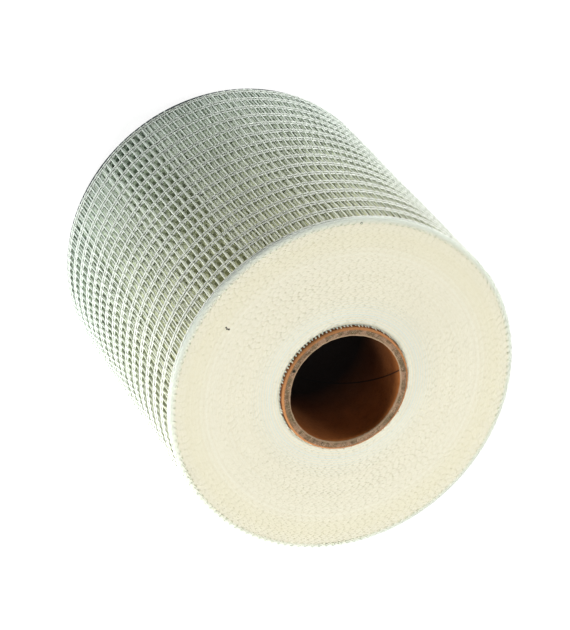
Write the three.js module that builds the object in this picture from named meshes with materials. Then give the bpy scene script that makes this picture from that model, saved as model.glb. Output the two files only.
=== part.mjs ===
// Roll of repair mesh tape: an open-weave tape wound on a cardboard core,
// stood on its end with the axis along Z and the end that is seen on top.
// All lengths are in millimetres, +Z is up, the tape's lower end is z = 0.
import * as THREE from 'three';

// Wound tape
const ROLL_DIAMETER = 156;      // outside of the last turn
const TAPE_WIDTH = 152;         // length of the roll along its axis
const EDGE_BREAK = 0.6;         // softened outer corner of the winding

// Cardboard core
const CORE_BORE = 50;           // inside diameter
const CORE_WALL = 3.5;          // thickness of the wound card
const CORE_PROUD = 2;           // core stands out past the tape at the top
const CORE_EDGE = 0.4;          // small break on the cut edges
const WINDING_CLEARANCE = 0.35; // air between core and first turn

// Turns seen on the ends
const TURN_LINES = 8;           // shallow rings between bands of turns
const TURN_LINE_WIDTH = 0.8;
const TURN_LINE_DEPTH = 0.6;

// Roundness
const SEGMENTS = 72;            // flats round the roll, one faces each side

const HALF_STEP = Math.PI / SEGMENTS;
const ACROSS_FLATS = 1 / Math.cos(HALF_STEP);

const rollRadius = ROLL_DIAMETER / 2;
const coreInner = CORE_BORE / 2;
const coreOuter = coreInner + CORE_WALL;
const windingInner = coreOuter + WINDING_CLEARANCE;

// The core is cut to the tape's width, so at the foot it lies as far inside
// the winding as it stands out at the top.
const coreFoot = CORE_PROUD;
const coreTop = TAPE_WIDTH + CORE_PROUD;

// A closed profile in (radius, height) turned once round the axis.
// Radii are measured to the flats, so the diameters above are real sizes.
function turned(profile, material, name) {
  const points = profile.map(([r, y]) => new THREE.Vector2(r * ACROSS_FLATS, y));
  points.push(points[0].clone());
  const geometry = new THREE.LatheGeometry(points, SEGMENTS, HALF_STEP);
  const mesh = new THREE.Mesh(geometry, material);
  mesh.name = name;
  return mesh;
}

// One end of the winding, from the bore outwards: flat bands of turns with
// a shallow V ring between neighbours. inward is +1 at the foot, -1 on top.
function windingEnd(y, inward) {
  const floor = y + inward * TURN_LINE_DEPTH;
  const points = [[windingInner, y]];
  const band = (rollRadius - windingInner) / (TURN_LINES + 1);
  for (let i = 1; i <= TURN_LINES; i += 1) {
    const r = windingInner + i * band;
    points.push([r - TURN_LINE_WIDTH / 2, y]);
    points.push([r, floor]);
    points.push([r + TURN_LINE_WIDTH / 2, y]);
  }
  points.push([rollRadius - EDGE_BREAK, y]);
  points.push([rollRadius, y + inward * EDGE_BREAK]);
  return points;
}

const mesh = new THREE.MeshStandardMaterial({
  name: 'mesh_tape',
  color: 0xcdcba6,
  roughness: 0.85,
  metalness: 0,
});
const card = new THREE.MeshStandardMaterial({
  name: 'core_card',
  color: 0x9a7f63,
  roughness: 0.9,
  metalness: 0,
});

// wound tape: outwards along the foot, then back in along the top
const windingProfile = [
  ...windingEnd(0, 1),
  ...windingEnd(TAPE_WIDTH, -1).reverse(),
];

// core: a plain tube with lightly broken cut edges
const coreProfile = [
  [coreInner, coreFoot + CORE_EDGE],
  [coreInner + CORE_EDGE, coreFoot],
  [coreOuter - CORE_EDGE, coreFoot],
  [coreOuter, coreFoot + CORE_EDGE],
  [coreOuter, coreTop - CORE_EDGE],
  [coreOuter - CORE_EDGE, coreTop],
  [coreInner + CORE_EDGE, coreTop],
  [coreInner, coreTop - CORE_EDGE],
];

const roll = new THREE.Group();
roll.name = 'repair_mesh_tape_roll';
roll.rotation.x = Math.PI / 2; // a lathe turns about Y, the roll stands on Z
roll.add(turned(windingProfile, mesh, 'mesh_roll'));
roll.add(turned(coreProfile, card, 'core_tube'));

export default roll;
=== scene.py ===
# %% [markdown]
# A roll of repair mesh tape, stood on its end.
# An open weave of coated glass yarn is wound on a brown card tube. What the
# eye reads is thread: white rings and cross threads on the flank, with darker
# turns behind them, and on the end thousands of cut thread tips.
# Every piece below is in metres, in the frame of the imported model.

# %% Load the frame
import math

import bmesh
import bpy
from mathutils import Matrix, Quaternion, Vector, noise


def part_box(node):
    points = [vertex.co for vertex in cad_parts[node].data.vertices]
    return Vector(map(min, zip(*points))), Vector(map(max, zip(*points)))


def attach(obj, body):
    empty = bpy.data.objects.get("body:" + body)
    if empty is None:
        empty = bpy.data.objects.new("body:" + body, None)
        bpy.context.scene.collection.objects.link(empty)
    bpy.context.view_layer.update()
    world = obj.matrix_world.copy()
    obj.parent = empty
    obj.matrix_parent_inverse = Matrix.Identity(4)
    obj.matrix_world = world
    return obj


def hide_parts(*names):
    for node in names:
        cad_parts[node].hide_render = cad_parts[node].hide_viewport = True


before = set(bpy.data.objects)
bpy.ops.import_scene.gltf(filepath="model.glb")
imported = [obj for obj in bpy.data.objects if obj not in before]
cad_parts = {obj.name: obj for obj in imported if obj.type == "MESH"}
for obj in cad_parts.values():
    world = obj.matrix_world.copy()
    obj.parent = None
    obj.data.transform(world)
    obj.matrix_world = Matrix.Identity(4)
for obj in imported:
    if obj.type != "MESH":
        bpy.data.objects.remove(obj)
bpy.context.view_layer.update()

# %% [markdown]
# The sizes come from the two solids: the winding and the tube. Only what the
# solids leave out, the thread and its spacing, is a value of its own here.
# The picture shows about sixteen rings. The spacing of its cross threads, seen
# on a short stretch of the flank, comes to about 150 round the roll.

# %% Sizes of the roll and of its weave
MM = 0.001
roll_low, roll_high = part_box("mesh_roll")
core_low, core_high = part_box("core_tube")
ROLL_RADIUS = (roll_high.x - roll_low.x) / 2
ROLL_FOOT = roll_low.z
ROLL_TOP = roll_high.z
CORE_OUTER = (core_high.x - core_low.x) / 2
CORE_WALL = 3.5 * MM
CORE_INNER = CORE_OUTER - CORE_WALL
CORE_FOOT = core_low.z
CORE_TOP = core_high.z

RINGS = 16
CROSS_THREADS = 150
EDGE_SHARE = 0.25
RING_PITCH = (ROLL_TOP - ROLL_FOOT) / (RINGS - 1 + 2 * EDGE_SHARE)
FIRST_RING = ROLL_FOOT + EDGE_SHARE * RING_PITCH
CROSS_PITCH = 2 * math.pi * ROLL_RADIUS / CROSS_THREADS
TURN_PITCH = 0.4 * MM
# Height of the band of painted shadow at the foot of the winding.
FOOT_SHADOW_BAND = 2.2 * MM
print("ring pitch mm", round(RING_PITCH / MM, 2), "cross pitch mm", round(CROSS_PITCH / MM, 2))

# %% [markdown]
# The camera looks down on the end of the roll from well above and is turned
# about its own axis, because the roll in the picture lies towards the upper
# left. A long lens keeps both ends nearly the same size.

# %% Camera
CAMERA_ELEVATION = math.radians(57.5)
CAMERA_ROLL = math.radians(140.7)
CAMERA_DISTANCE = 1.379
CAMERA_AIM = Vector((0.0, 0.001, 0.0768))

camera_data = bpy.data.cameras.new("camera")
camera_data.sensor_width = 36.0
camera_data.lens = 177.5
camera = bpy.data.objects.new("camera", camera_data)
bpy.context.collection.objects.link(camera)
back = Vector((0.0, -math.cos(CAMERA_ELEVATION), math.sin(CAMERA_ELEVATION)))
camera.location = CAMERA_AIM + CAMERA_DISTANCE * back
camera.rotation_mode = "QUATERNION"
upright = (-back).to_track_quat("-Z", "Y")
camera.rotation_quaternion = upright @ Quaternion((0.0, 0.0, 1.0), CAMERA_ROLL)
bpy.context.scene.camera = camera
bpy.context.scene.view_settings.view_transform = "Standard"
print("camera at", [round(v, 3) for v in camera.location])

# %% [markdown]
# Studio light. Two high lights stand left and right of the picture, set back
# behind the roll. They reach over the end and into the bore, and leave the
# flank that faces the camera dim. Two low lights brighten its sides, and the
# left ones, on the +X side of the roll, are the stronger. A weak high light in
# front picks out the tops of the rings. Very little comes from all round.

# %% Lights and surroundings
def soft_light(name, place, size, power):
    """A square area light that faces the middle of the roll."""
    data = bpy.data.lights.new(name, "AREA")
    data.size = size
    data.energy = power
    lamp = bpy.data.objects.new(name, data)
    lamp.location = place
    towards = CAMERA_AIM - Vector(place)
    lamp.rotation_euler = towards.to_track_quat("-Z", "Y").to_euler()
    bpy.context.collection.objects.link(lamp)
    return lamp


soft_light("light_left_of_picture", (0.85, 0.42, 1.12), 0.4, 12.0)
soft_light("light_right_of_picture", (-0.85, 0.42, 1.12), 0.4, 8.2)
soft_light("low_left_of_picture", (1.3, -0.1, 0.12), 0.6, 25.0)
soft_light("low_right_of_picture", (-1.3, -0.1, 0.12), 0.6, 12.5)
soft_light("high_in_front", (0.0, -0.5, 1.3), 0.3, 2.2)

surroundings = bpy.data.worlds.new("white studio")
surroundings.use_nodes = True
background = surroundings.node_tree.nodes["Background"]
background.inputs["Color"].default_value = (1.0, 1.0, 1.0, 1.0)
background.inputs["Strength"].default_value = 0.04
bpy.context.scene.world = surroundings
print("lights", len(bpy.data.lights))

# %% [markdown]
# Node trees are easier to read as sums. `Wire` is a socket that can be added
# and multiplied, and each operation puts in its own Math node. A `ramp` goes
# from 0 to 1 between two values, and a `line` marks a stripe in every unit.

# %% A small language for node trees
class Wire:
    """A socket that can stand in a sum."""

    def __init__(self, nodes, socket):
        self.nodes = nodes
        self.socket = socket

    def out(self, name):
        return Wire(self.nodes, self.socket.node.outputs[name])

    def math(self, operation, *values):
        inputs = dict(enumerate(values))
        return self.nodes.add("ShaderNodeMath", {"operation": operation}, inputs)

    def __add__(self, other):
        return self.math("ADD", self, other)

    def __radd__(self, other):
        return self.math("ADD", other, self)

    def __sub__(self, other):
        return self.math("SUBTRACT", self, other)

    def __rsub__(self, other):
        return self.math("SUBTRACT", other, self)

    def __mul__(self, other):
        return self.math("MULTIPLY", self, other)

    def __truediv__(self, other):
        return self.math("DIVIDE", self, other)

    def sin(self):
        return self.math("SINE", self)

    def cos(self):
        return self.math("COSINE", self)

    def sqrt(self):
        return self.math("SQRT", self)

    def fraction(self):
        return self.math("FRACT", self)

    def clamped(self):
        return self.math("MINIMUM", self.math("MAXIMUM", self, 0.0), 1.0)

    def ramp(self, low, high):
        """0 at low, 1 at high, straight between and flat outside."""
        return ((self - low) * (1.0 / (high - low))).clamped()

    def line(self, width):
        """1 on a line of that share of each unit, soft at its edges."""
        off_centre = self.math("ABSOLUTE", self.fraction() - 0.5)
        return 1.0 - off_centre.ramp(width * 0.35, width * 0.65)


# %% [markdown]
# `Nodes` holds one tree. Its `add` makes any node from its type, its settings
# and its inputs, and hands back a wire. Mixing and noise have short names.

# %% Adding nodes
class Nodes:
    """Adds nodes to one tree."""

    def __init__(self, tree):
        self.tree = tree

    def add(self, kind, settings=None, inputs=None, output=0):
        node = self.tree.nodes.new(kind)
        for name, value in (settings or {}).items():
            setattr(node, name, value)
        for key, value in (inputs or {}).items():
            if isinstance(value, Wire):
                self.tree.links.new(value.socket, node.inputs[key])
            else:
                node.inputs[key].default_value = value
        return Wire(self, node.outputs[output])

    def vector(self, x, y, z):
        return self.add("ShaderNodeCombineXYZ", None, {"X": x, "Y": y, "Z": z})

    def mix(self, factor, first, second):
        """A colour between two, colours or wires."""
        settings = {"data_type": "RGBA", "clamp_factor": True}
        inputs = {0: factor, 6: first, 7: second}
        return self.add("ShaderNodeMix", settings, inputs, 2)

    def noise(self, place, scale, detail=2.0, roughness=0.5):
        inputs = {"Vector": place, "Scale": scale, "Detail": detail, "Roughness": roughness}
        return self.add("ShaderNodeTexNoise", None, inputs)


# %% [markdown]
# Colours were judged on a screen, so they are written as a screen shows them.

# %% Screen colours
def rgb(red, green, blue):
    """A colour as read off a screen, 0 to 255, as the shader's linear values."""
    def linear(value):
        value = value / 255.0
        return value / 12.92 if value <= 0.04045 else ((value + 0.055) / 1.055) ** 2.4

    return (linear(red), linear(green), linear(blue), 1.0)


# %% [markdown]
# Materials all start the same way: a Principled shader, the Object
# coordinates, and from them the angle round the roll, the distance from its
# axis and the height. A weave, a winding or a spiral ply follows those three.

# %% What the materials share
class Finish(Nodes):
    """A new material with the roll's own coordinates at hand."""

    def __init__(self, name):
        self.material = bpy.data.materials.new(name)
        self.material.use_nodes = True
        super().__init__(self.material.node_tree)
        self.shader = self.tree.nodes["Principled BSDF"]
        object_place = self.add("ShaderNodeTexCoord", None, None, "Object")
        self.place = self.add("ShaderNodeMapping", None, {"Vector": object_place})
        axes = self.add("ShaderNodeSeparateXYZ", None, {"Vector": self.place})
        self.x, self.y, self.height = axes.out("X"), axes.out("Y"), axes.out("Z")
        self.angle = self.x.math("ARCTAN2", self.y, self.x)
        self.radius = (self.x * self.x + self.y * self.y).sqrt()

    def set(self, name, value):
        socket = self.shader.inputs[name]
        if isinstance(value, Wire):
            self.tree.links.new(value.socket, socket)
        else:
            socket.default_value = value

    def bump(self, height, strength, distance):
        inputs = {"Height": height, "Strength": strength, "Distance": distance}
        self.set("Normal", self.add("ShaderNodeBump", None, inputs))


# %% [markdown]
# The yarn is glass fibre in a milky coating. Near the end that is lit it looks warm, further down the flank
# it turns cooler and greener, and in random patches the coating is a shade darker.

# %% Yarn
def yarn_finish(name, warm, cool, shade):
    finish = Finish(name)
    down_the_flank = finish.height.ramp(ROLL_FOOT, ROLL_TOP)
    colour = finish.mix(down_the_flank, cool, warm)
    mottle = finish.noise(finish.place, 420.0, 3.0, 0.6)
    colour = finish.mix(mottle.ramp(0.42, 0.72) * 0.5, colour, shade)
    fibres = finish.noise(finish.place, 2600.0, 2.0)
    finish.set("Base Color", colour)
    finish.set("Roughness", 0.45 + mottle * 0.3)
    finish.set("Specular IOR Level", 0.35)
    finish.bump(fibres, 0.25, 0.1 * MM)
    return finish.material


ring_yarn = yarn_finish("ring_yarn", rgb(242, 244, 235), rgb(236, 243, 235), rgb(222, 229, 216))
outer_yarn = yarn_finish("outer_yarn", rgb(231, 234, 216), rgb(216, 228, 220), rgb(200, 208, 190))
# The second and third turns get copies of the same yarn with painted shade, a little darker for each turn
# further in.
second_yarn = yarn_finish("second_yarn", rgb(224, 227, 204), rgb(208, 220, 209), rgb(192, 200, 176))
third_yarn = yarn_finish("third_yarn", rgb(214, 217, 188), rgb(196, 210, 196), rgb(180, 188, 160))


# %% [markdown]
# Behind the three turns that are modelled, the winding is solid enough to be one body. Its flank carries
# painted shade of the turns further in: fainter, darker lines of the same weave, with dark olive gaps
# between them. At the foot a band of painted shadow stands for the dark that shows through the open edge of
# the tape, and near the top the edge is pale.

# %% The turns behind
def deep_winding_finish():
    finish = Finish("deep_winding")
    ring_place = (finish.height - FIRST_RING) * (1.0 / RING_PITCH)
    thread_place = finish.angle * (CROSS_THREADS / (2 * math.pi))
    wander = finish.noise(finish.place, 60.0, 2.0) - 0.5
    rings = (ring_place + 0.5).line(0.5)
    fourth = (thread_place + wander * 1.5 + 0.2).line(0.4)
    fifth = (thread_place * 1.04 + wander * 2.0 + 0.6).line(0.36)
    weave = rings.math("MAXIMUM", rings, fourth)
    weave = weave.math("MAXIMUM", weave, fifth * 0.75)
    mottle = finish.noise(finish.place, 160.0, 3.0, 0.6)
    # Painted shade: the dark olive gaps stand for the shade between the turns further in, and the weave
    # lines are a little darker than the yarn.
    olive_gap_shade = finish.mix(finish.height.ramp(ROLL_FOOT, ROLL_TOP), rgb(84, 104, 86), rgb(116, 118, 66))
    olive_gap_shade = finish.mix(mottle.ramp(0.4, 0.7) * 0.6, olive_gap_shade, rgb(68, 76, 50))
    turn = finish.mix(finish.height.ramp(ROLL_FOOT, ROLL_TOP), rgb(190, 208, 188), rgb(214, 216, 172))
    flank = finish.mix(weave, olive_gap_shade, turn)
    # Painted shadow: a nearly black teal band at the foot, where the dark under the roll shows through the
    # open edge of the tape.
    painted_foot_shadow = 1.0 - finish.height.ramp(ROLL_FOOT + FOOT_SHADOW_BAND, ROLL_FOOT + FOOT_SHADOW_BAND + 0.3 * MM)
    flank = finish.mix(painted_foot_shadow, flank, rgb(16, 38, 44))
    pale_edge = finish.height.ramp(ROLL_TOP - 4.2 * MM, ROLL_TOP - 2.8 * MM)
    flank = finish.mix(pale_edge, flank, rgb(226, 233, 222))
    finish.set("Base Color", flank)
    finish.set("Roughness", 0.8)
    finish.bump(weave, 0.6, 0.3 * MM)
    return finish.material


deep_winding = deep_winding_finish()
print("finish", deep_winding.name)

# %% [markdown]
# The ends are cream. Fine grain follows the turns, the first turns round the
# tube show pale arcs, and the last ones are paler and cooler. Three dark
# specks in a row look like a scrap of thread, and a fourth lies near the edge.
# Each speck has its place on the end and its width.

# %% The ends of the winding
SPECKS = (
    ((0.0217, -0.0588), 0.9 * MM),
    ((0.0222, -0.0595), 0.8 * MM),
    ((0.0221, -0.0603), 0.8 * MM),
    ((-0.0485, -0.0578), 1.1 * MM),
)


def end_finish(name):
    """The cream of the cut ends, warmer in a band and cool in the last turns."""
    finish = Finish(name)
    share = finish.radius * (1.0 / ROLL_RADIUS)
    bands = finish.noise(finish.vector(finish.radius * 900.0, 0.0, 0.0), 1.0, 4.0, 0.6)
    along = finish.angle * 30.0 + finish.radius * 150.0
    grain = finish.noise(finish.vector(finish.radius * (1.0 / (0.9 * MM)), along, 0.0), 1.0, 3.0, 0.65)
    cream = finish.mix(bands.ramp(0.35, 0.65), rgb(236, 231, 208), rgb(241, 238, 218))
    cream = finish.mix(grain.ramp(0.45, 0.75) * 0.5, cream, rgb(224, 220, 192))
    warm_band = share.ramp(0.78, 0.86) * (1.0 - share.ramp(0.9, 0.96))
    cream = finish.mix(warm_band * 0.3, cream, rgb(234, 228, 194))
    last_turns = share.ramp(0.96, 0.985)
    cream = finish.mix(last_turns * 0.8, cream, rgb(224, 232, 220))
    first_turns = 1.0 - share.ramp(0.42, 0.56)
    arcs = (finish.radius * (1.0 / (1.1 * MM)) + bands * 1.5).line(0.4)
    cream = finish.mix(first_turns * arcs * 0.7, cream, rgb(220, 231, 224))
    for place, size in SPECKS:
        off_x = finish.x - place[0]
        off_y = finish.y - place[1]
        speck = 1.0 - (off_x * off_x + off_y * off_y).sqrt().ramp(size * 0.4, size * 0.6)
        cream = finish.mix(speck, cream, rgb(66, 62, 50))
    finish.set("Base Color", cream)
    finish.set("Roughness", 0.75)
    finish.set("Specular IOR Level", 0.3)
    finish.bump(grain, 0.2, 0.2 * MM)
    return finish.material


cut_ends = end_finish("cut_ends")
packed_turns = end_finish("packed_turns")
print("finishes", cut_ends.name, packed_turns.name)

# %% [markdown]
# The tube is grey-brown kraft card, wound in a spiral. Its cut end shows the plies as thin rings and is
# furry, and the bore is smooth and more orange, with painted shade that makes it dark deep down. The edge
# of the inner ply climbs the bore as a dark seam, once round in each lead. A dark nick marks the cut end at
# one place.

# %% Card
PLY_LEAD = 230 * MM
PLY_START = 157 / 360 - CORE_TOP / PLY_LEAD
CORE_BEVEL = 0.7 * MM
NICK_TURN = math.radians(-63)
NICK_RADIUS = CORE_INNER + 1.5 * MM
NICK_PLACE = (NICK_RADIUS * math.cos(NICK_TURN), NICK_RADIUS * math.sin(NICK_TURN))


def card_finish():
    finish = Finish("kraft_card")
    fibres = finish.noise(finish.place, 900.0, 5.0, 0.7)
    clouds = finish.noise(finish.place, 60.0, 3.0)
    bore = finish.mix(clouds.ramp(0.35, 0.65), rgb(140, 80, 32), rgb(168, 102, 48))
    bore = finish.mix(fibres.ramp(0.5, 0.8) * 0.6, bore, rgb(86, 46, 16))
    climb = finish.height * (1.0 / PLY_LEAD) - finish.angle * (1.0 / (2 * math.pi))
    seam = (climb + PLY_START + 0.5).line(0.005)
    bore = finish.mix(seam * 0.8, bore, rgb(26, 14, 8))
    # Painted shade: the bore turns nearly black deep down.
    painted_depth_shade = 1.0 - finish.height.ramp(CORE_TOP - 48 * MM, CORE_TOP - 8 * MM)
    bore = finish.mix(painted_depth_shade * 0.96, bore, rgb(14, 13, 12))
    wall = finish.mix(fibres.ramp(0.4, 0.8) * 0.5, rgb(192, 132, 82), rgb(140, 92, 54))
    # Painted shade: the wall is darker brown just above the winding, between the teeth.
    painted_wall_shade = 1.0 - finish.height.ramp(ROLL_TOP + 0.6 * MM, ROLL_TOP + 1.3 * MM)
    wall = finish.mix(painted_wall_shade * 0.8, wall, rgb(116, 72, 40))
    outside = finish.radius.ramp(CORE_OUTER - CORE_BEVEL - 0.4 * MM, CORE_OUTER - CORE_BEVEL + 0.1 * MM)
    card = finish.mix(outside, bore, wall)
    ply = ((finish.radius - CORE_INNER) * (6.0 / CORE_WALL) + clouds).line(0.35)
    cut = finish.mix(fibres.ramp(0.35, 0.65), rgb(84, 64, 44), rgb(160, 134, 104))
    cut = finish.mix(ply * 0.5, cut, rgb(84, 60, 38))
    patches = finish.noise(finish.place, 330.0, 3.0)
    cut = finish.mix(patches.ramp(0.5, 0.62) * 0.6, cut, rgb(174, 138, 110))
    # Darker patches at random on the cut end.
    dark_patches = 1.0 - patches.ramp(0.36, 0.46)
    cut = finish.mix(dark_patches * 0.55, cut, rgb(104, 92, 64))
    specks = finish.noise(finish.place, 2200.0, 2.0).ramp(0.6, 0.68)
    cut = finish.mix(specks * 0.6, cut, rgb(206, 188, 160))
    inner_lip = 1.0 - (finish.radius - CORE_INNER).ramp(0.3 * MM, 0.7 * MM)
    cut = finish.mix(inner_lip * 0.5, cut, rgb(196, 168, 136))
    at_the_end = finish.height.ramp(CORE_TOP - 0.9 * MM, CORE_TOP - 0.6 * MM)
    at_the_foot = 1.0 - finish.height.ramp(CORE_FOOT + 0.3 * MM, CORE_FOOT + 0.9 * MM)
    nick_x = finish.x - NICK_PLACE[0]
    nick_y = finish.y - NICK_PLACE[1]
    nick = 1.0 - (nick_x * nick_x + nick_y * nick_y).sqrt().ramp(0.5 * MM, 0.9 * MM)
    cut = finish.mix(nick, cut, rgb(28, 34, 26))
    is_cut = (at_the_end + at_the_foot).clamped() * (1.0 - outside)
    card = finish.mix(is_cut, card, cut)
    finish.set("Base Color", card)
    finish.set("Roughness", 0.7 + fibres * 0.25)
    finish.set("Specular IOR Level", 0.25)
    finish.bump(fibres, 0.5, 0.3 * MM)
    return finish.material


kraft_card = card_finish()
print("finish", kraft_card.name)

# %% [markdown]
# Threads are made by Geometry Nodes, because each repeats by a simple rule.
# `new_tree` makes a tree with named inputs, and `grown` runs it once and
# keeps the result as a plain mesh with nothing live left on it.

# %% Growing meshes from node trees
SOCKETS = {float: "NodeSocketFloat", int: "NodeSocketInt", bpy.types.Material: "NodeSocketMaterial"}


def new_tree(name, sizes):
    """A Geometry Nodes tree with one named input for each size."""
    tree = bpy.data.node_groups.new(name, "GeometryNodeTree")
    tree.interface.new_socket(name="Geometry", in_out="OUTPUT", socket_type="NodeSocketGeometry")
    for label, value in sizes.items():
        socket_type = SOCKETS[type(value)]
        tree.interface.new_socket(name=label, in_out="INPUT", socket_type=socket_type)
    nodes = Nodes(tree)
    first = tree.nodes.new("NodeGroupInput")
    wires = {label: Wire(nodes, first.outputs[label]) for label in sizes}
    return nodes, wires


def close_tree(nodes, geometry, material):
    """Ends a tree as a plain mesh with its material."""
    real = nodes.add("GeometryNodeRealizeInstances", None, {"Geometry": geometry})
    dressed = nodes.add("GeometryNodeSetMaterial", None, {"Geometry": real, "Material": material})
    last = nodes.tree.nodes.new("NodeGroupOutput")
    nodes.tree.links.new(dressed.socket, last.inputs["Geometry"])
    return nodes.tree


def grown(name, tree, sizes, smooth=True):
    maker = bpy.data.objects.new(name + "_maker", bpy.data.meshes.new(name + "_seed"))
    bpy.context.collection.objects.link(maker)
    modifier = maker.modifiers.new("grow", "NODES")
    modifier.node_group = tree
    for item in tree.interface.items_tree:
        if item.in_out == "INPUT":
            modifier[item.identifier] = sizes[item.name]
    graph = bpy.context.evaluated_depsgraph_get()
    mesh = bpy.data.meshes.new_from_object(maker.evaluated_get(graph))
    bpy.data.objects.remove(maker)
    if smooth:
        mesh.shade_smooth()
    piece = bpy.data.objects.new(name, mesh)
    bpy.context.collection.objects.link(piece)
    mesh.calc_loop_triangles()
    print(name, "triangles", len(mesh.loop_triangles))
    return piece


# %% [markdown]
# A cross thread runs the whole width of the tape. It is a flat ribbon that
# bows outwards over each ring. One is modelled, and copies of it stand round
# the roll. No two real threads are quite alike, so each is turned a little.
# The two turns behind have slightly other counts of wider threads, so theirs
# drift in and out of line with the outer ones.

# %% Cross threads
def sway(nodes, geometry, amount):
    """Moves a weave a little, the same way for every yarn at one place."""
    place = nodes.add("GeometryNodeInputPosition")
    field = nodes.add("ShaderNodeTexNoise", None, {"Vector": place, "Scale": 45.0, "Detail": 2.0}, 1)
    centred = nodes.add("ShaderNodeVectorMath", {"operation": "SUBTRACT"}, {0: field, 1: (0.5, 0.5, 0.5)})
    scaled = nodes.add("ShaderNodeVectorMath", {"operation": "SCALE"}, {0: centred, "Scale": amount})
    return nodes.add("GeometryNodeSetPosition", None, {"Geometry": geometry, "Offset": scaled})


def cross_thread_tree(sizes):
    nodes, size = new_tree("cross_threads", sizes)
    cylinder = {"Vertices": size["Sides"], "Side Segments": size["Steps"], "Radius": 1.0}
    cylinder["Depth"] = size["Length"]
    rod = nodes.add("GeometryNodeMeshCylinder", {"fill_type": "NGON"}, cylinder)
    place = nodes.add("GeometryNodeInputPosition")
    axes = nodes.add("ShaderNodeSeparateXYZ", None, {"Vector": place})
    height = axes.out("Z") + size["Length"] * 0.5
    bow = ((height - size["First ring"]) * (2 * math.pi) / size["Ring pitch"]).cos() * size["Bow"]
    past_top = (height - size["Length"] + size["Curl over"]).ramp(0.0, 3.0 * MM)
    x = axes.out("X") * size["Thickness"] * 0.5 + size["Radius"] + bow
    x = x - past_top * past_top * size["Curl in"]
    y = axes.out("Y") * size["Width"] * 0.5
    inputs = {"Geometry": rod, "Position": nodes.vector(x, y, height + size["Foot"])}
    ribbon = nodes.add("GeometryNodeSetPosition", None, inputs)
    points = nodes.add("GeometryNodePoints", None, {"Count": size["Threads"]})
    index = nodes.add("GeometryNodeInputIndex")
    chance = nodes.add("FunctionNodeRandomValue", {"data_type": "FLOAT"}, {"Seed": 7}, 1)
    slow = {"W": index * 0.06 + size["Phase"] * 40.0, "Scale": 1.0, "Detail": 1.0}
    drift = nodes.add("ShaderNodeTexNoise", {"noise_dimensions": "1D"}, slow)
    shift = (chance - 0.5) * size["Unevenness"] + (drift - 0.5) * size["Drift"]
    turn = (index + size["Phase"] + shift) * (2 * math.pi) / size["Threads"] + math.pi / 2
    rotation = nodes.add("FunctionNodeEulerToRotation", None, {0: nodes.vector(0.0, 0.0, turn)})
    inputs = {"Points": points, "Instance": ribbon, "Rotation": rotation}
    threads = nodes.add("GeometryNodeInstanceOnPoints", None, inputs)
    real = nodes.add("GeometryNodeRealizeInstances", None, {"Geometry": threads})
    return close_tree(nodes, sway(nodes, real, size["Sway"]), size["Yarn"])


THREAD_FOOT = ROLL_FOOT + 0.4 * MM
OUTER_THREADS = {
    "Threads": CROSS_THREADS,
    "Sides": 6,
    "Steps": 2 * RINGS,
    "Radius": ROLL_RADIUS - 0.72 * MM,
    "Foot": THREAD_FOOT,
    "Length": ROLL_TOP - THREAD_FOOT,
    "Width": 0.8 * MM,
    "Thickness": 0.32 * MM,
    "First ring": FIRST_RING - THREAD_FOOT,
    "Ring pitch": RING_PITCH,
    "Bow": 0.3 * MM,
    "Curl over": 3.0 * MM,
    "Curl in": 1.2 * MM,
    "Phase": 0.0,
    "Unevenness": 0.12,
    "Drift": 0.0,
    "Sway": 0.9 * MM,
    "Yarn": outer_yarn,
}
cross_threads = cross_thread_tree(OUTER_THREADS)
outer_threads = grown("outer_cross_threads", cross_threads, OUTER_THREADS)

SECOND_THREADS = dict(OUTER_THREADS)
SECOND_THREADS.update({"Threads": 148, "Width": 1.0 * MM, "Phase": 0.5, "Drift": 1.6})
SECOND_THREADS.update({"Sides": 4, "Steps": RINGS})
SECOND_THREADS.update({"Radius": ROLL_RADIUS - 1.2 * MM, "Yarn": second_yarn})
second_threads = grown("second_cross_threads", cross_threads, SECOND_THREADS)

THIRD_THREADS = dict(SECOND_THREADS)
THIRD_THREADS.update({"Threads": 151, "Width": 1.3 * MM, "Phase": 0.9, "Drift": 2.4})
THIRD_THREADS.update({"Foot": FIRST_RING, "Length": ROLL_TOP - FIRST_RING, "First ring": 0.0})
THIRD_THREADS.update({"Radius": ROLL_RADIUS - 1.6 * MM, "Yarn": third_yarn})
third_threads = grown("third_cross_threads", cross_threads, THIRD_THREADS)

# %% [markdown]
# The rings are pairs of fine yarns that change sides at every cross thread
# and lock it in place. On the roll a pair looks like a small twisted cord.
# Each strand is a circle whose points swing in and out and up and down. The
# turns don't line up exactly, so the rings behind lie a little up or down.

# %% Rings of paired yarn
def ring_tree(sizes):
    nodes, size = new_tree("paired_rings", sizes)
    index = nodes.add("GeometryNodeInputIndex")
    turn = index * (2 * math.pi) / size["Points"]
    strands = []
    for start in (0.0, math.pi):
        circle = nodes.add("GeometryNodeCurvePrimitiveCircle", None, {"Resolution": size["Points"]})
        twist = turn * size["Threads"] * 0.5 + start
        radius = size["Radius"] + twist.sin() * size["Swing in"]
        place = nodes.vector(turn.cos() * radius, turn.sin() * radius, twist.cos() * size["Swing up"])
        strands.append(nodes.add("GeometryNodeSetPosition", None, {"Geometry": circle, "Position": place}))
    pair = nodes.add("GeometryNodeJoinGeometry")
    for strand in strands:
        nodes.tree.links.new(strand.socket, pair.socket.node.inputs[0])
    outline = {"Resolution": 4, "Radius": size["Yarn radius"]}
    profile = nodes.add("GeometryNodeCurvePrimitiveCircle", None, outline)
    inputs = {"Curve": pair, "Profile Curve": profile}
    cord = nodes.add("GeometryNodeCurveToMesh", None, inputs)
    place = nodes.vector(0.0, 0.0, size["First ring"] + index * size["Ring pitch"])
    points = nodes.add("GeometryNodePoints", None, {"Count": size["Rings"], "Position": place})
    rings = nodes.add("GeometryNodeInstanceOnPoints", None, {"Points": points, "Instance": cord})
    real = nodes.add("GeometryNodeRealizeInstances", None, {"Geometry": rings})
    return close_tree(nodes, sway(nodes, real, size["Sway"]), size["Yarn"])


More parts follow.
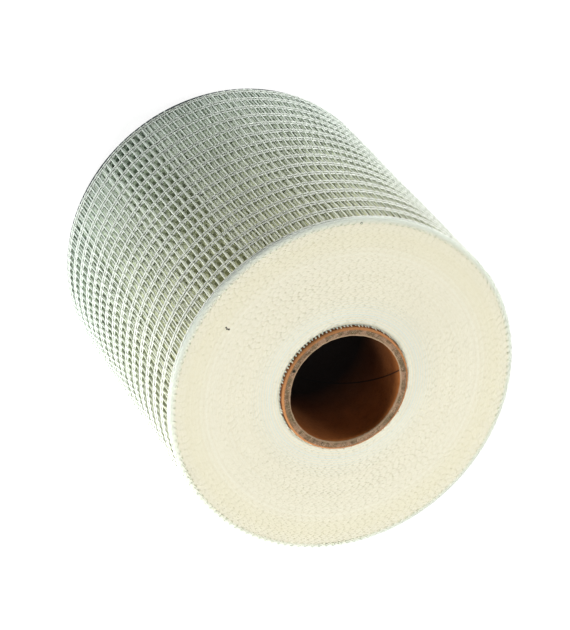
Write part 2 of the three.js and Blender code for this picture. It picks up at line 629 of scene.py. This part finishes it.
OUTER_RINGS = {
    "Rings": RINGS,
    "Points": 4 * CROSS_THREADS,
    "Threads": CROSS_THREADS,
    "Radius": ROLL_RADIUS - 0.35 * MM,
    "Swing in": 0.12 * MM,
    "Swing up": 0.2 * MM,
    "Yarn radius": 0.25 * MM,
    "First ring": FIRST_RING,
    "Ring pitch": RING_PITCH,
    "Sway": 0.9 * MM,
    "Yarn": ring_yarn,
}
paired_rings = ring_tree(OUTER_RINGS)
outer_rings = grown("outer_rings", paired_rings, OUTER_RINGS)

RING_DRIFT = 1.0 * MM
SECOND_RINGS = dict(OUTER_RINGS)
SECOND_RINGS.update({"Points": 2 * CROSS_THREADS, "Radius": ROLL_RADIUS - 0.9 * MM, "Yarn": ring_yarn})
SECOND_RINGS.update({"First ring": FIRST_RING + RING_DRIFT, "Yarn radius": 0.32 * MM, "Swing up": 0.3 * MM})
second_rings = grown("second_rings", paired_rings, SECOND_RINGS)

THIRD_RINGS = dict(SECOND_RINGS)
THIRD_RINGS.update({"First ring": FIRST_RING - RING_DRIFT, "Yarn": third_yarn})
third_rings = grown("third_rings", paired_rings, THIRD_RINGS)

# %% [markdown]
# The end of a roll is a brush. The tape is one spiral, and at every cross
# thread a cut tip stands up from it. The place of tip number i follows from
# the length of the spiral, so one formula sets all of them. The tips lean and
# differ in height at random, with a fixed seed. Towards the flank the end is
# rounded off, so there the tips stand lower.

# %% How a thread tip is placed
EDGE_ROUND = 3.0 * MM


def tip_tree(sizes):
    nodes, size = new_tree("thread_tips", sizes)
    index = nodes.add("GeometryNodeInputIndex")
    area = index * size["Cross pitch"] * size["Turn pitch"] * (1.0 / math.pi)
    radius = (size["Start"] * size["Start"] + area).sqrt()
    turn = (radius - size["Start"]) * (2 * math.pi) / size["Turn pitch"]
    over_edge = (radius - ROLL_RADIUS + EDGE_ROUND).ramp(0.0, EDGE_ROUND)
    base = size["Base"] - over_edge * over_edge * size["Edge drop"]
    place = nodes.vector(turn.cos() * radius, turn.sin() * radius, base)
    points = nodes.add("GeometryNodePoints", None, {"Count": size["Tips"], "Position": place})
    cone = {"Vertices": size["Sides"], "Radius Top": size["Point"], "Radius Bottom": 0.5}
    cone["Depth"] = 1.0
    tip = nodes.add("GeometryNodeMeshCone", {"fill_type": "NGON"}, cone)
    lean = nodes.add("FunctionNodeRandomValue", {"data_type": "FLOAT_VECTOR"}, {"Seed": 3})
    lean_axes = nodes.add("ShaderNodeSeparateXYZ", None, {"Vector": lean})
    tilt = nodes.vector(
        (lean_axes.out("X") - 0.5) * size["Lean"] + size["Lean along"],
        (lean_axes.out("Y") - 0.5) * size["Lean"] + size["Lean out"],
        turn,
    )
    rotation = nodes.add("FunctionNodeEulerToRotation", None, {0: tilt})
    height = size["Height"] * (1.0 - lean_axes.out("Z") * size["Shortfall"])
    stretch = nodes.vector(size["Thickness"], size["Width"], height)
    inputs = {"Points": points, "Instance": tip, "Rotation": rotation, "Scale": stretch}
    tips = nodes.add("GeometryNodeInstanceOnPoints", None, inputs)
    return close_tree(nodes, tips, size["Yarn"])


def tip_count(start, finish, turn_pitch, cross_pitch):
    """How many threads a spiral passes between two radii."""
    return int(math.pi * (finish**2 - start**2) / (turn_pitch * cross_pitch))


# %% [markdown]
# The top carries tips from the tube out to the flank. The hidden foot gets
# the same tips, short and turned over, which just reach down to the floor.

# %% Thread tips on the ends
TIP_REACH = 2.0 * MM
EDGE_DROP = 0.9 * MM
TIP_FIRST = CORE_OUTER + 1.0 * MM
TIP_LAST = ROLL_RADIUS - 0.5 * MM
TOP_TIPS = {
    "Tips": tip_count(TIP_FIRST, TIP_LAST, TURN_PITCH, CROSS_PITCH),
    "Sides": 4,
    "Start": TIP_FIRST,
    "Turn pitch": TURN_PITCH,
    "Cross pitch": CROSS_PITCH,
    "Base": ROLL_TOP - TIP_REACH,
    "Height": TIP_REACH,
    "Width": 1.5 * MM,
    "Thickness": 0.34 * MM,
    "Point": 0.35,
    "Shortfall": 0.05,
    "Lean": 0.03,
    "Lean along": 0.0,
    "Lean out": 0.0,
    "Edge drop": EDGE_DROP,
    "Yarn": cut_ends,
}
thread_tips = tip_tree(TOP_TIPS)
top_tips = grown("top_thread_tips", thread_tips, TOP_TIPS, smooth=False)

FOOT_TIPS = dict(TOP_TIPS)
FOOT_TIPS.update({"Sides": 3, "Base": ROLL_FOOT + 0.6 * MM, "Height": 0.6 * MM})
FOOT_TIPS.update({"Lean along": math.pi, "Edge drop": 0.0})
foot_tips = grown("foot_thread_tips", thread_tips, FOOT_TIPS, smooth=False)

# %% [markdown]
# Loose fibres stick out at the outer edge of the top. They are thin tips that
# lean over, each by a different amount.

# %% Fringe at the outer edge
FRINGE_FIRST = ROLL_RADIUS - 3.0 * MM
FRINGE_TURN = 1.0 * MM
FRINGE_GAP = 0.55 * MM
FRINGE = dict(TOP_TIPS)
FRINGE.update({"Sides": 3, "Start": FRINGE_FIRST, "Turn pitch": FRINGE_TURN, "Cross pitch": FRINGE_GAP})
FRINGE.update({"Tips": tip_count(FRINGE_FIRST, TIP_LAST, FRINGE_TURN, FRINGE_GAP)})
FRINGE.update({"Width": 0.26 * MM, "Thickness": 0.26 * MM, "Lean": 0.7})
FRINGE.update({"Lean along": 0.8, "Lean out": 0.5, "Height": 2.6 * MM, "Shortfall": 0.5})
FRINGE.update({"Yarn": ring_yarn})
fringe = grown("edge_fringe", thread_tips, FRINGE)

# %% [markdown]
# Round the tube the ends of the first turn stand up like teeth, with the tube showing brown between them,
# where its wall has a band of painted shade.

# %% Tips of the first turn
TOOTH_FIRST = CORE_OUTER + 0.3 * MM
TOOTH_GAP = CROSS_PITCH / 2
TEETH = dict(TOP_TIPS)
TEETH.update({"Start": TOOTH_FIRST, "Turn pitch": TURN_PITCH, "Cross pitch": TOOTH_GAP})
TEETH.update({"Tips": tip_count(TOOTH_FIRST, TOOTH_FIRST + TURN_PITCH, TURN_PITCH, TOOTH_GAP)})
TEETH.update({"Width": 1.25 * MM, "Thickness": 0.7 * MM, "Point": 0.2, "Lean": 0.3})
TEETH.update({"Base": ROLL_TOP - 1.2 * MM, "Height": 2.8 * MM, "Shortfall": 0.25})
core_teeth = grown("first_turn_tips", thread_tips, TEETH, smooth=False)

# %% [markdown]
# Two pieces are turned like work on a lathe: a closed profile of points goes
# once round the axis. `wobble` may move each point a little on the way.

# %% Turning a profile
def turned_mesh(name, profile, around, wobble=None):
    """Turns a closed profile of (radius, height) points once round the axis."""
    shape = bmesh.new()
    columns = []
    for step in range(around):
        turn = 2 * math.pi * step / around
        column = []
        for radius, height in profile:
            if wobble:
                radius, height = wobble(radius, height, turn)
            column.append(shape.verts.new((radius * math.cos(turn), radius * math.sin(turn), height)))
        columns.append(column)
    count = len(profile)
    for step, column in enumerate(columns):
        following = columns[(step + 1) % around]
        for i in range(count):
            j = (i + 1) % count
            shape.faces.new((column[i], following[i], following[j], column[j]))
    bmesh.ops.recalc_face_normals(shape, faces=shape.faces)
    mesh = bpy.data.meshes.new(name)
    shape.to_mesh(mesh)
    shape.free()
    mesh.shade_smooth()
    piece = bpy.data.objects.new(name, mesh)
    bpy.context.collection.objects.link(piece)
    print(name, "faces", len(mesh.polygons))
    return piece


# %% [markdown]
# The body of the winding is a little smaller than the solid it stands for.
# Its top lies just below the thread tips and has shallow waves, because some
# turns sit a hair higher than others. Next to the tube it dips.

# %% The body of the winding
AROUND = 180
END_RINGS = 60
END_WAVE = 0.1 * MM
WAVES_PER_METRE = 420.0
EDGE_RADIUS = ROLL_RADIUS - 0.5 * MM
TIP_BED = 0.16 * MM
BODY_RADIUS = ROLL_RADIUS - 1.9 * MM
BODY_BORE = CORE_OUTER + 0.05 * MM
CORE_DIP = 1.0 * MM
DIP_RADIUS = TIP_FIRST - 0.5 * MM
BODY_FOOT = ROLL_FOOT + 0.2 * MM
BAND_TOP = ROLL_FOOT + FOOT_SHADOW_BAND


def top_profile():
    """Waves from the bore out to the flank."""
    points = []
    for step in range(END_RINGS + 1):
        radius = BODY_BORE + (EDGE_RADIUS - BODY_BORE) * step / END_RINGS
        wave = noise.noise(Vector((radius * WAVES_PER_METRE, 3.7, 0.0))) * END_WAVE
        over_edge = max(0.0, (radius - ROLL_RADIUS + EDGE_ROUND) / EDGE_ROUND) ** 2
        dip = CORE_DIP if radius < DIP_RADIUS else 0.0
        points.append((radius, ROLL_TOP - (TIP_BED - wave + over_edge * EDGE_DROP + dip)))
    return points


# This flange at the foot carries the painted shadow band.
foot_shadow_flange = [(EDGE_RADIUS, BAND_TOP), (BODY_RADIUS, BAND_TOP + 0.3 * MM)]
top_shoulder = [(BODY_RADIUS, ROLL_TOP - 4.6 * MM), (EDGE_RADIUS, ROLL_TOP - 3.4 * MM)]
foot_end = [(radius, BODY_FOOT) for radius in (BODY_BORE, EDGE_RADIUS)]
body_profile = foot_end + foot_shadow_flange + top_shoulder + top_profile()[::-1]
winding = turned_mesh("winding_body", body_profile, AROUND)
winding.data.materials.append(deep_winding)
winding.data.materials.append(packed_turns)
for face in winding.data.polygons:
    faces_an_end = abs(face.normal.z) > 0.5
    face.material_index = 1 if faces_an_end else 0

# %% [markdown]
# The tube is one turned shape too. A saw leaves its cut end uneven, so the
# edge goes up and down by a few tenths, and the inner ply ends in a step that
# climbs the bore as a long spiral.

# %% The card tube
TUBE_ROWS = 48
TUBE_AROUND = 160
CUT_STEPS = 4
FOOT_STEPS = 5
PLY_STEP = 0.12 * MM
RAGGED = 0.35 * MM
RAGGED_AROUND = 9.0
RAGGED_PER_METRE = 900.0
TOUCH = 0.01 * MM
OUTER_PLY = CORE_OUTER - 1.0 * MM


def tube_profile():
    inner = []
    outer = []
    for row in range(TUBE_ROWS + 1):
        share = row / TUBE_ROWS
        inner.append((CORE_INNER, CORE_FOOT + (CORE_TOP - CORE_FOOT) * share))
        outer.append((CORE_OUTER, CORE_FOOT + (CORE_TOP - CORE_BEVEL - CORE_FOOT) * share))
    cut_width = CORE_WALL - CORE_BEVEL
    top = [(CORE_INNER + cut_width * step / CUT_STEPS, CORE_TOP) for step in range(1, CUT_STEPS + 1)]
    foot = [(CORE_INNER + CORE_WALL * step / FOOT_STEPS, CORE_FOOT) for step in range(1, FOOT_STEPS)]
    return outer + top[::-1] + inner[::-1] + foot


def tube_wobble(radius, height, turn):
    """The spiral step of the inner ply, and the ragged cut."""
    if radius < CORE_INNER + TOUCH:
        climb = (height / PLY_LEAD - turn / (2 * math.pi) + PLY_START) % 1.0
        radius += PLY_STEP * (climb - 0.5)
    on_top = height > CORE_TOP - TOUCH
    if on_top or height < CORE_FOOT + TOUCH:
        spot = Vector((
            math.cos(turn) * RAGGED_AROUND,
            math.sin(turn) * RAGGED_AROUND,
            radius * RAGGED_PER_METRE,
        ))
        worn = RAGGED * abs(noise.noise(spot))
        height -= worn if on_top else -worn
        if radius < OUTER_PLY:
            radius += 0.5 * RAGGED * noise.noise(spot * 1.7)
    return radius, height


tube = turned_mesh("card_tube", tube_profile(), TUBE_AROUND, tube_wobble)
tube.data.materials.append(kraft_card)

# %% [markdown]
# A pale, plain floor carries the roll. It glows, so that it stays white in the
# picture, and that also lights the flank from below.

# %% Floor
floor_finish = bpy.data.materials.new("floor")
floor_finish.use_nodes = True
floor_shader = floor_finish.node_tree.nodes["Principled BSDF"]
floor_shader.inputs["Base Color"].default_value = (0.25, 0.25, 0.25, 1.0)
floor_shader.inputs["Roughness"].default_value = 0.9
floor_shader.inputs["Emission Color"].default_value = (1.0, 1.0, 1.0, 1.0)
floor_shader.inputs["Emission Strength"].default_value = 0.85
bpy.ops.mesh.primitive_plane_add(size=6.0, location=(0.0, 0.0, 0.0))
floor = bpy.context.object
floor.name = "floor"
floor.data.materials.append(floor_finish)
print("floor", floor.name)

# %% [markdown]
# Last, each piece is tied to the part. The winding and the tube stand for
# the two solids, and the rest rides with them.

# %% Tie the pieces to the part
WOVEN = [outer_threads, second_threads, third_threads, outer_rings, second_rings, third_rings]
WOVEN += [top_tips, foot_tips, fringe, core_teeth]
for piece in WOVEN + [winding]:
    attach(piece, "root")
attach(tube, "root")
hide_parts("mesh_roll")
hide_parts("core_tube")
